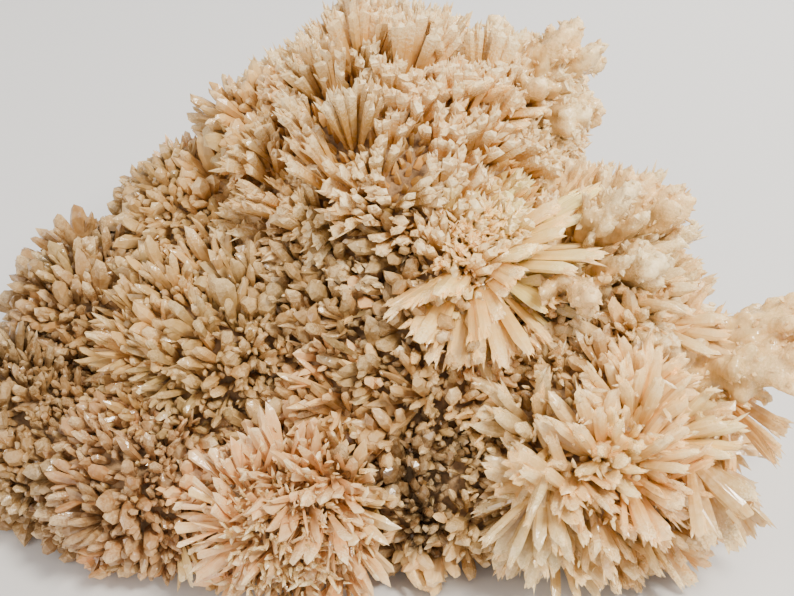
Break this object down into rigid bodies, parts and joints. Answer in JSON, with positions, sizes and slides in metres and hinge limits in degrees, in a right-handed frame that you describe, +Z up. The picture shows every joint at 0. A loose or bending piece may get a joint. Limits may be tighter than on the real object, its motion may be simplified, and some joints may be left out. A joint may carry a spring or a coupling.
{
  "type": "aragonite crystal cluster",
  "caption": "Natural aragonite cluster: overlapping rounded lobes bristling with radiating pointed crystals, flat blades and blunt pale clubs, broken off flat underneath",
  "frame": {"origin": "on the flat face that the cluster rests on, under its main mass", "axes": "+Z up out of the resting face, +X along the longest extent, -Y towards the pictured side"},
  "size_m": [0.2297, 0.1531, 0.1137],
  "materials": {
    "aragonite": "waxy, slightly translucent crystal, cream to honey brown"
  },
  "bodies": {
    "root": {"crystal_cluster": "aragonite"}
  },
  "joints": []
}
